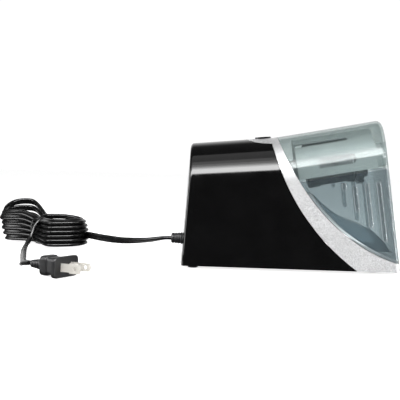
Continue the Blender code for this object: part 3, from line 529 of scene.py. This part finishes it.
def make_cord():
    """The whole cord in one loft, twisted about its own line as it runs."""
    route = smooth_route(CORD_ROUTE + LEAD_IN + hank_turns() + TAIL_ROUTE, 2.4)
    length = sum((q - p).length for p, q in zip(route, route[1:]))
    twists = [(0.0, 0.0), (25.0, -15.0), (90.0, -82.0), (150.0, -75.0), (200.0, HANK_TWIST),
              (length - TAIL_LENGTH, HANK_TWIST), (length - 120.0, -50.0), (length - 50.0, -64.0),
              (length - 12.0, -14.0), (length, 0.0)]
    section = cord_section()
    middle, along_hank, _, _ = hank_frame()
    rings = []
    run = 0.0
    for k, point in enumerate(route):
        ahead = route[min(k + 1, len(route) - 1)]
        behind = route[max(k - 1, 0)]
        run += (point - behind).length
        along = (ahead - behind).normalized()
        level = along.cross(Vector((0, 0, 1))).normalized()
        rise = level.cross(along).normalized()
        reach = (point.xy - middle).dot(along_hank)
        twist = math.radians(table(run, twists) + table(reach, [(4.0, 0.0), (34.0, FAR_TWIST)]))
        wide = level * math.cos(twist) + rise * math.sin(twist)
        thick = rise * math.cos(twist) - level * math.sin(twist)
        rings.append([point + wide * x + thick * y for x, y in section])
    cord = add_object("mains_cord", loft(rings), smooth=70.0)
    finish_piece(cord, "cord", replaces=("power_cord", "cord_hank", "cord_tail"))
    return cord, route, length


def make_tie():
    """The thin wire tie, a closed loop round the hank's waist."""
    along = hank_frame()[1].to_3d()
    rings = []
    count = 56
    for k in range(count):
        a = 2 * math.pi * k / count
        w = TIE_HALF[0] * math.copysign(abs(math.cos(a)) ** 0.75, math.cos(a))
        z = TIE_Z + TIE_HALF[1] * math.copysign(abs(math.sin(a)) ** 0.75, math.sin(a))
        s = 1.5 + 2.4 * math.sin(a)
        centre = Vector(hank_point(s, w, z))
        out = Vector(hank_point(s, w + math.cos(a), z + math.sin(a))) - centre
        ring = []
        for j in range(10):
            b = 2 * math.pi * j / 10
            ring.append(centre + out * (0.55 * math.cos(b)) + along * (1.15 * math.sin(b)))
        rings.append(ring)
    tie = add_object("wire_tie", loft(rings, closed=True), smooth=60.0)
    return finish_piece(tie, "rubber", replaces=("cord_tie",))


def make_strain_relief():
    """The ribbed bush where the cord leaves the housing."""
    profile = [(-105.4, 2.0), (-105.4, 4.1), (-104.9, 4.5)]
    for k in range(3):
        u = -103.0 + 2.6 * k
        r = 4.7 + 0.22 * k
        profile += [(u - 0.5, r), (u, r - 0.35), (u + 0.7, r - 0.35), (u + 1.2, r + 0.08)]
    profile += [(-95.9, 5.6), (-95.6, 5.3), (-95.4, 4.5), (-84.4, 3.6), (-84.0, 3.2)]
    relief = turned("cord_relief", profile, Matrix.Translation((0.0, 0.0, GLAND_Z)))
    return finish_piece(relief, "plug", replaces=("strain_relief",))


def rounded_ring(x, half_y, half_z, radius, mid, steps=6):
    """A rounded rectangle at one station of the plug."""
    ring = []
    radius = min(radius, half_y - 0.01, half_z - 0.01)
    for sy, sz, start in ((1, 1, 0), (-1, 1, 90), (-1, -1, 180), (1, -1, 270)):
        centre = (sy * (half_y - radius), mid + sz * (half_z - radius))
        ring += [(x, y, z) for y, z in arc(centre, radius, start, start + 90, steps)]
    return ring


def make_plug():
    """Moulded plug: ribbed relief, raised collar, trunk and face plate in one loft."""
    mid = PLUG_H / 2
    place = Matrix.Translation((*PLUG_AT, PLUG_BASE)) @ Matrix.Rotation(PLUG_TURN, 4, "Z")
    stations = [(-33.2, 3.0, 2.3, 2.2), (-33.0, 3.5, 2.8, 2.6)]      # x, half width, half height, radius
    for k in range(4):
        x = -32.4 + 2.9 * k
        grow = 0.42 * k
        for step, half_y in ((0.0, 3.7), (1.7, 3.9), (1.9, 3.3), (2.7, 3.3)):
            stations.append((x + step, half_y + grow, half_y - 0.7 + grow, half_y - 0.9 + grow))
    stations += [(-20.9, 5.4, 4.9, 3.6), (-20.7, 7.2, 6.9, 3.4), (-20.2, 7.8, 7.5, 3.4),
                 (-17.0, 8.1, 7.8, 3.4), (-14.2, 8.0, 7.7, 3.2), (-13.8, 7.6, 7.2, 3.0),
                 (-13.6, 7.3, 6.6, 2.6), (-4.4, 8.9, 6.9, 2.4), (-4.2, 9.2, 7.0, 2.4),
                 (-4.0, 14.2, 7.4, 3.0), (-3.6, 14.8, 7.85, 3.2), (-0.5, 15.0, 7.98, 3.2),
                 (-0.1, 14.7, 7.7, 3.1), (0.0, 14.2, 7.2, 2.8)]
    rings = [rounded_ring(x, half_y, half_z, radius, mid) for x, half_y, half_z, radius in stations]
    plug = add_object("plug_moulding", loft(rings), place, 42.0)
    slots = []
    for k, y in enumerate((-BLADE_Y, BLADE_Y)):
        thick, tall = BLADE_SLOT_HALF
        outline = [(-9.0, mid - tall), (3.0, mid - tall), (3.0, mid + tall), (-9.0, mid + tall)]
        slots.append(prism(f"slot_{k}", outline, (y - thick, y + thick), "Y", place))
    combine(plug, "DIFFERENCE", *slots)
    soften(plug, 0.25, 40.0, 45.0)
    return finish_piece(plug, "plug", replaces=("plug_body",))


CORD, CORD_LINE, CORD_LENGTH = make_cord()
TIE = make_tie()
RELIEF = make_strain_relief()
PLUG = make_plug()


# ------------------------------------------------------------------ the casing's outer form
def section(t, inset, floor_z):
    """Outline across the casing at share t of its length."""
    base = table(t, HALF_BASE) - inset
    side = table(t, HALF_SPRING) - inset
    spring = table(t, SPRING)
    crown = table(t, CROWN) - inset
    half = [(base, floor_z), (base * 0.4 + side * 0.6, floor_z * 0.4 + spring * 0.6)]
    for k in range(ARCH_STEPS):
        a = math.pi / 2 * k / ARCH_STEPS
        half.append((side * math.cos(a), spring + (crown - spring) * math.sin(a)))
    mirrored = [(-y, z) for y, z in reversed(half)]
    return [(0.0, floor_z), (base / 2, floor_z)] + half + [(0.0, crown)] + mirrored + [(-base / 2, floor_z)]


def rear_face(y, z):
    return REAR_X + (z - BASE_Z) * REAR_LEAN - END_BULGE * (1 - (y / BULGE_HALF) ** 2)


def front_face(y, z):
    return FRONT_X - (z - FRONT_FOOT_Z) * FRONT_LEAN + END_BULGE * (1 - (y / BULGE_HALF) ** 2)


def bowed_cap(bm, ring, face_x):
    """Close an end ring with a grid that follows the bowed face."""
    levels = ARCH_STEPS + 2
    right = ring[2:2 + levels]
    left = ring[-2:-2 - levels:-1]
    crown = ring[2 + levels]
    rows = [[left[0], ring[-1], ring[0], ring[1], right[0]]]
    for a, b in zip(left[1:], right[1:]):
        inner = [(b.co.y * f, b.co.z) for f in (-0.5, 0.0, 0.5)]
        rows.append([a] + [bm.verts.new((face_x(y, z), y, z)) for y, z in inner] + [b])
    for low, high in zip(rows, rows[1:]):
        for k in range(4):
            bm.faces.new((low[k], low[k + 1], high[k + 1], high[k]))
    for k in range(4):
        bm.faces.new((rows[-1][k], rows[-1][k + 1], crown))


def casing_form(name, wall=0.0, floor_z=BASE_Z):
    """The whole casing as a solid: arched top, leaning bowed ends with rounded edges."""
    angles = [math.radians(a) for a in (0, 15, 30, 45, 60, 75, 90)]
    rear_r = max(REAR_ROUND - wall, 1.2)
    front_r = max(FRONT_ROUND - wall, 1.2)
    rings = []
    for a in angles:
        depth = rear_r * (1 - math.cos(a))
        ring = section(depth / LENGTH, wall + rear_r * (1 - math.sin(a)), floor_z)
        rings.append([(rear_face(y, z) + wall + depth, y, z) for y, z in ring])
    for t in (0.12, 0.25, 0.36, 0.44, 0.54, 0.66, 0.77, 0.88):
        ring = section(t, wall, floor_z)
        rings.append([(rear_face(y, z) + t * (front_face(y, z) - rear_face(y, z)), y, z) for y, z in ring])
    for a in reversed(angles):
        depth = front_r * (1 - math.cos(a))
        ring = section(1 - depth / LENGTH, wall + front_r * (1 - math.sin(a)), floor_z)
        rings.append([(front_face(y, z) - wall - depth, y, z) for y, z in ring])
    bm = loft(rings, caps=False)
    bm.verts.ensure_lookup_table()
    count = len(rings[0])
    bowed_cap(bm, bm.verts[:count], lambda y, z: rear_face(y, z) + wall)
    bowed_cap(bm, bm.verts[(len(rings) - 1) * count:len(rings) * count],
              lambda y, z: front_face(y, z) - wall)
    return add_object(name, bm)


def front_curve(offset=0.0, steps=60):
    """The band's front edge from top to foot, moved towards the bin by offset."""
    points = interpolate_bezier(*[Vector((x, 0.0, z)) for x, z in BAND_FRONT], steps + 1)
    moved = []
    for k, point in enumerate(points):
        along = (points[min(k + 1, steps)] - points[max(k - 1, 0)]).normalized()
        moved.append((point.x - along.z * offset, point.z + along.x * offset))
    return moved


def rear_curve(offset=0.0):
    """The band's rear edge from top to foot, moved towards the rear by offset."""
    return arc(BAND_REAR_CENTRE, BAND_REAR_RADIUS + offset, 192.0, 236.5, 54)


def behind_front(name, offset):
    """Tool that fills everything behind the band's front edge."""
    curve = front_curve(offset)
    (x0, _), (x1, z1) = curve[0], curve[-1]
    outline = ([(CUT_REAR, CUT_TOP), (x0 - 16.0, CUT_TOP)] + curve
               + [(x1 + 30.0, z1 - 1.0), (x1 + 30.0, CUT_FOOT), (CUT_REAR, CUT_FOOT)])
    return prism(name, outline, CUT_Y, "Y")


def ahead_of_rear(name, offset):
    """Tool that fills everything ahead of the band's rear edge."""
    curve = rear_curve(offset)
    outline = [(CUT_FRONT, CUT_TOP), (curve[0][0] + 5.0, CUT_TOP)] + curve + [(CUT_FRONT, curve[-1][1])]
    return prism(name, outline, CUT_Y, "Y")


def seam_z(x):
    """Height of the seam between dome and bin."""
    return SEAM_Z0 + SEAM_SLOPE * x


def ahead_of_front(name, offset, low, high):
    """Tool ahead of the band's front edge, from low to high above the seam."""
    curve = front_curve(offset)
    (x0, _), (x1, z1) = curve[0], curve[-1]
    outline = [(x0 - 16.0, CUT_TOP)] + curve + [(x1 + 30.0, z1 - 1.0), (x1 + 30.0, CUT_TOP)]
    strip = [(x, seam_z(x) + rise) for x, rise in ((-60.0, low), (140.0, low), (140.0, high), (-60.0, high))]
    region = prism(name, outline, CUT_Y, "Y")
    return combine(region, "INTERSECT", prism(name + "_strip", strip, (-90.0, 90.0), "Y"))


def badge_tab(name, margin=0.0):
    """The band's tongue on the crown, as an upright tool."""
    corner = [(-40.0 - margin, 0.0), (-39.4 - margin, 4.0), (-38.2 - margin, 8.6), (-35.5 - margin, 14.2),
              (-31.4, 18.6 + margin), (-24.0, 22.0 + margin), (-8.0, 25.5 + margin)]
    outline = corner + [(x, -y) for x, y in corner[:0:-1]]
    return prism(name, outline, (100.0, 140.0), "Z")


def badge_place():
    return Matrix.Translation((BADGE_X, 0.0, table(BADGE_T, CROWN))) @ Matrix.Rotation(-BADGE_TILT, 4, "Y")


def oval_ring(margin, steps=48):
    return [((BADGE_HALF[0] + margin) * math.cos(2 * math.pi * k / steps),
             (BADGE_HALF[1] + margin) * math.sin(2 * math.pi * k / steps)) for k in range(steps)]


def rod_z(name, x, y, radius, z):
    return prism(name, arc((x, y), radius, 0.0, 345.0, 23), z, "Z")


def lifted(z):
    return Matrix.Translation((0.0, 0.0, z))


def axis_place():
    """From the cutter's own axis along X to its tilted place in the casing."""
    return lifted(AXIS_Z) @ Matrix.Rotation(-AXIS_TILT, 4, "Y")


def make_housing():
    """The black shell with its gland hole and screw bosses."""
    housing = casing_form("housing_shell")
    combine(housing, "DIFFERENCE", casing_form("hollow", WALL, HOLLOW_FLOOR),
            ahead_of_rear("limit", GAP / 2), badge_tab("tab_clearance", GAP))
    gland = turned("gland_hole", [(-110.0, GLAND_BORE), (-80.0, GLAND_BORE)], lifted(GLAND_Z), 40)
    combine(housing, "DIFFERENCE", gland)
    for k, (x, y) in enumerate(SCREWS):
        wall_y = math.copysign(45.6, y)
        rib = prism(f"rib_{k}", [(x - 1.0, y), (x + 1.0, y), (x + 1.0, wall_y), (x - 1.0, wall_y)],
                    (BASE_Z + 5.4, 22.0), "Z")
        combine(housing, "UNION", rod_z(f"boss_{k}", x, y, BOSS_R, (BASE_Z + 4.2, 24.0)), rib)
        combine(housing, "DIFFERENCE", rod_z(f"pilot_{k}", x, y, PILOT_R, (0.0, 20.0)))
    soften(housing, 0.35)
    return finish_piece(housing, "gloss_black", replaces=("rear_housing",))


def make_band():
    """The silver band round the casing, with its tab and the badge recess."""
    band = casing_form("silver_band")
    swoosh = ahead_of_rear("rear_limit", -GAP / 2)
    combine(swoosh, "UNION", badge_tab("tab"))
    combine(band, "INTERSECT", swoosh, behind_front("front_limit", 0.0))
    hollow = casing_form("band_hollow", WALL, HOLLOW_FLOOR)
    pocket = prism("badge_pocket", oval_ring(0.3), (-1.1, 6.0), "Z", badge_place())
    combine(band, "DIFFERENCE", hollow, pocket)
    soften(band, 0.3)
    return finish_piece(band, "satin_silver", replaces=("trim_band",))


def make_bulkhead():
    """The dark web behind the bin, with the shaft hole, and the interlock boss."""
    web = casing_form("bulkhead_web", WALL + 0.05, BASE_Z + 1.0)
    combine(web, "INTERSECT", behind_front("web_front", -0.05))
    combine(web, "DIFFERENCE", behind_front("web_rear", -WEB))
    boss = prism("boss", [(24.0, -7.0), (44.0, -7.0), (44.0, 7.0), (24.0, 7.0)], (33.5, 46.5), "Z")
    combine(boss, "INTERSECT", behind_front("boss_limit", -1.0))
    combine(web, "UNION", boss)
    plunger = turned("plunger_hole", [(0.0, PLUNGER_BORE), (70.0, PLUNGER_BORE)], lifted(PLUNGER_Z), 32)
    bushing = turned("bushing_hole", [(-30.0, BUSHING_BORE), (30.0, BUSHING_BORE)], axis_place(), 40)
    combine(web, "DIFFERENCE", plunger, bushing)
    soften(web, 0.2)
    return finish_piece(web, "bulkhead")


def make_dome():
    """The clear cover with the pencil port."""
    dome = casing_form("clear_dome")
    combine(dome, "INTERSECT", ahead_of_front("dome_limit", GAP, GAP, 120.0))
    guide_hole = turned("guide_hole", [(60.0, GUIDE_BORE), (110.0, GUIDE_BORE)], axis_place())
    combine(dome, "DIFFERENCE", casing_form("dome_hollow", WALL, HOLLOW_FLOOR), guide_hole)
    soften(dome, 0.4)
    return finish_piece(dome, "dome", replaces=("cutter_dome",))


def grip_rib(name, x, top, foot, side):
    """A capsule lying on the bin's side wall."""
    depths = [math.cos(math.radians(a)) for a in (80, 62, 44, 28, 12)]
    ends = [(GRIP_R * d, math.sqrt(1 - (1 - d) ** 2)) for d in depths]
    t = (x - REAR_X) / LENGTH
    rings = []
    for z, scale in [(top - d, s) for d, s in ends] + [(foot + d, s) for d, s in reversed(ends)]:
        centre = x + (top - z) * FRONT_LEAN
        wall_y = table(t, HALF_BASE)
        wall_y += (table(t, HALF_SPRING) - wall_y) * (z - BASE_Z) / (76.0 - BASE_Z)
        rings.append([(centre + GRIP_R * scale * math.cos(2 * math.pi * k / 24),
                       side * (wall_y + 0.15 + 1.5 * scale * math.sin(2 * math.pi * k / 24)), z)
                      for k in range(24)])
    return add_object(name, loft(rings))


def make_bin():
    """Open-topped clear tray that follows the band, with grip ribs on both sides."""
    tray = casing_form("clear_bin")
    combine(tray, "INTERSECT", ahead_of_front("bin_limit", BIN_GAP, -120.0, -GAP))
    hollow = casing_form("bin_hollow", BIN_WALL, HOLLOW_FLOOR)
    combine(hollow, "INTERSECT", ahead_of_front("bin_hollow_limit", BIN_BACK, -120.0, 40.0))
    combine(tray, "DIFFERENCE", hollow)
    notch = prism("notch", [(-20.0, -29.0), (30.0, -29.0), (30.0, 29.0), (-20.0, 29.0)], (66.0, 110.0), "Z")
    combine(tray, "DIFFERENCE", notch)
    soften(tray, 0.35)
    finish_piece(tray, "bin", "bin", replaces=("shavings_bin",))
    places = [(*rib, side) for rib in BIN_RIBS for side in (1.0, -1.0)]
    grips = grip_rib("bin_grips", *places[0])
    combine(grips, "UNION", *[grip_rib(f"grip_{k}", *place) for k, place in enumerate(places[1:])])
    # the grip material paints the ribs' bright outlines as a highlight
    finish_piece(grips, "grip", "bin")


def make_bin_floor():
    """The sloping floor inside the bin, against its back wall, tinted darker than the bin as painted shade
    for the floor seen at a grazing angle.
    """
    upper = smooth_route([(x, 0.0, z) for x, z in BIN_FLOOR], 2.0)
    lower = [p for p in front_curve(3.1) if BIN_FLOOR[0][1] > p[1] > BIN_FLOOR[-1][1]]
    half = table(0.8, HALF_BASE) - 3.6
    floor = prism("bin_floor", [(p.x, p.z) for p in upper] + lower[::-1], (-half, half), "Y")
    soften(floor, 0.3)
    return finish_piece(floor, "bin_floor", "bin")


def slot_outline(start, stop, height, radius):
    """A slot with one square end and one round one."""
    nose = arc((stop - radius, height), radius, 90, -90, 20)
    return [(start, height + radius)] + nose + [(start, height - radius)]


def make_liner():
    """Arched liner over the cutter, with an end plate and two long slots on each side."""
    bore = SHROUD_R - SHROUD_WALL
    outer = [(SHROUD_R, SHROUD_BASE)] + arc((0, 0), SHROUD_R, 0, 180, 64) + [(-SHROUD_R, SHROUD_BASE)]
    inner = [(bore, SHROUD_BASE)] + arc((0, 0), bore, 0, 180, 64) + [(-bore, SHROUD_BASE)]
    liner = prism("cutter_liner", outer + inner[::-1], SHROUD_SPAN, "X", axis_place())
    tools = [prism("low_slots", slot_outline(25.0, 58.0, 0.8, 4.4), (-40.0, 40.0), "Y", axis_place())]
    for side in (-1, 1):
        swing = axis_place() @ Matrix.Rotation(side * math.radians(40.0), 4, "X")
        tools.append(prism(f"high_slot_{side}", slot_outline(3.0, 54.0, 0.0, 2.6), (15.0, 40.0), "Z", swing))
    combine(liner, "UNION", prism("liner_end", outer, SHROUD_END, "X", axis_place()))
    tools.append(turned("shaft_hole", [(0.0, SHAFT_BORE), (10.0, SHAFT_BORE)], axis_place(), 40))
    combine(liner, "DIFFERENCE", *tools)
    soften(liner, 0.3)
    return finish_piece(liner, "pale_grey", replaces=("cutter_shroud",))


make_housing()
make_band()
make_bulkhead()
make_dome()
make_bin()
make_liner()
make_bin_floor()

# ------------------------------------------------------------------ materials on the CAD pieces that stay
for entry in frame["record"]["subparts"]:
    node = NODES[entry["node"]]
    if not node.hide_render:
        pale = entry["node"] in ("pencil_guide", "carrier_bushing_front")
        node.data.materials.clear()
        node.data.materials.append(MATS["pale_grey" if pale else entry["material_slot"]])


# ------------------------------------------------------------------ floor, world and lights
def make_floor():
    floor = prism("floor", [(-4000, -3500), (4000, -3500), (4000, 6000), (-4000, 6000)], (-20.0, -0.4), "Z")
    mat, _, shader = new_material("floor_white")
    shader.inputs["Base Color"].default_value = (0.93, 0.93, 0.93, 1.0)
    shader.inputs["Roughness"].default_value = 0.9
    shader.inputs["Specular IOR Level"].default_value = 0.1
    shader.inputs["Emission Color"].default_value = (1.0, 1.0, 1.0, 1.0)
    shader.inputs["Emission Strength"].default_value = 0.84
    floor.data.materials.append(mat)
    floor.visible_glossy = False


def make_world():
    """White where the camera looks; as a light, brighter behind the object than in front of it."""
    world = bpy.data.worlds.new("studio")
    bpy.context.scene.world = world
    world.use_nodes = True
    tree = world.node_tree
    tree.nodes.clear()
    path = tree.nodes.new("ShaderNodeLightPath")
    seen = tree.nodes.new("ShaderNodeBackground")
    seen.inputs["Color"].default_value = (1.0, 1.0, 1.0, 1.0)
    seen.inputs["Strength"].default_value = 1.05
    coords = tree.nodes.new("ShaderNodeTexCoord")
    split = tree.nodes.new("ShaderNodeSeparateXYZ")
    link(tree, coords.outputs["Generated"], split.inputs["Vector"])
    fade = tree.nodes.new("ShaderNodeMapRange")
    fade.interpolation_type = "SMOOTHSTEP"
    for key, value in FILL_FADE.items():
        fade.inputs[key].default_value = value
    link(tree, split.outputs["Y"], fade.inputs["Value"])
    fill = tree.nodes.new("ShaderNodeBackground")
    fill.inputs["Color"].default_value = (1.0, 1.0, 1.0, 1.0)
    link(tree, fade.outputs["Result"], fill.inputs["Strength"])
    mix = tree.nodes.new("ShaderNodeMixShader")
    output = tree.nodes.new("ShaderNodeOutputWorld")
    link(tree, path.outputs["Is Camera Ray"], mix.inputs["Fac"])
    link(tree, fill.outputs["Background"], mix.inputs[1])
    link(tree, seen.outputs["Background"], mix.inputs[2])
    link(tree, mix.outputs["Shader"], output.inputs["Surface"])


def panel(name, elevation, azimuth, distance, size, radiance, glossy=True, diffuse=True):
    """A rectangular softbox that faces the casing; azimuth 0 is the camera's side, 90 is +X."""
    data = bpy.data.lights.new(name, "AREA")
    data.shape = "RECTANGLE"
    data.size, data.size_y = size
    data.energy = radiance * math.pi * size[0] * size[1]
    item = bpy.data.objects.new(name, data)
    bpy.context.scene.collection.objects.link(item)
    e, a = math.radians(elevation), math.radians(azimuth)
    aim = Vector((0.0, 0.0, 0.08))
    away = Vector((math.sin(a) * math.cos(e), -math.cos(a) * math.cos(e), math.sin(e)))
    item.location = aim + away * distance
    item.rotation_euler = (-away).to_track_quat("-Z", "Y").to_euler()
    item.visible_glossy = glossy
    item.visible_diffuse = diffuse


make_floor()
make_world()
for k, (low, high, radiance) in enumerate(STRIPS):
    width = 2.4 * math.tan(math.radians((high - low) / 2))
    panel(f"strip_{k}", (low + high) / 2, 0.0, 1.2, (3.0, width), radiance, diffuse=k == len(STRIPS) - 1)
panel("edge_glint", 10.0, 78.0, 1.3, (0.16, 0.8), 30.0, diffuse=False)
panel("front_fill", 22.0, -10.0, 1.6, (1.8, 1.2), 1.5, glossy=False)
panel("edge_front", 12.0, 82.0, 1.2, (0.5, 0.8), 6.0)
panel("edge_rear", 10.0, -84.0, 1.2, (0.5, 0.7), 6.0)

scene = bpy.context.scene
scene.view_settings.view_transform = "Standard"
scene.view_settings.look = "None"
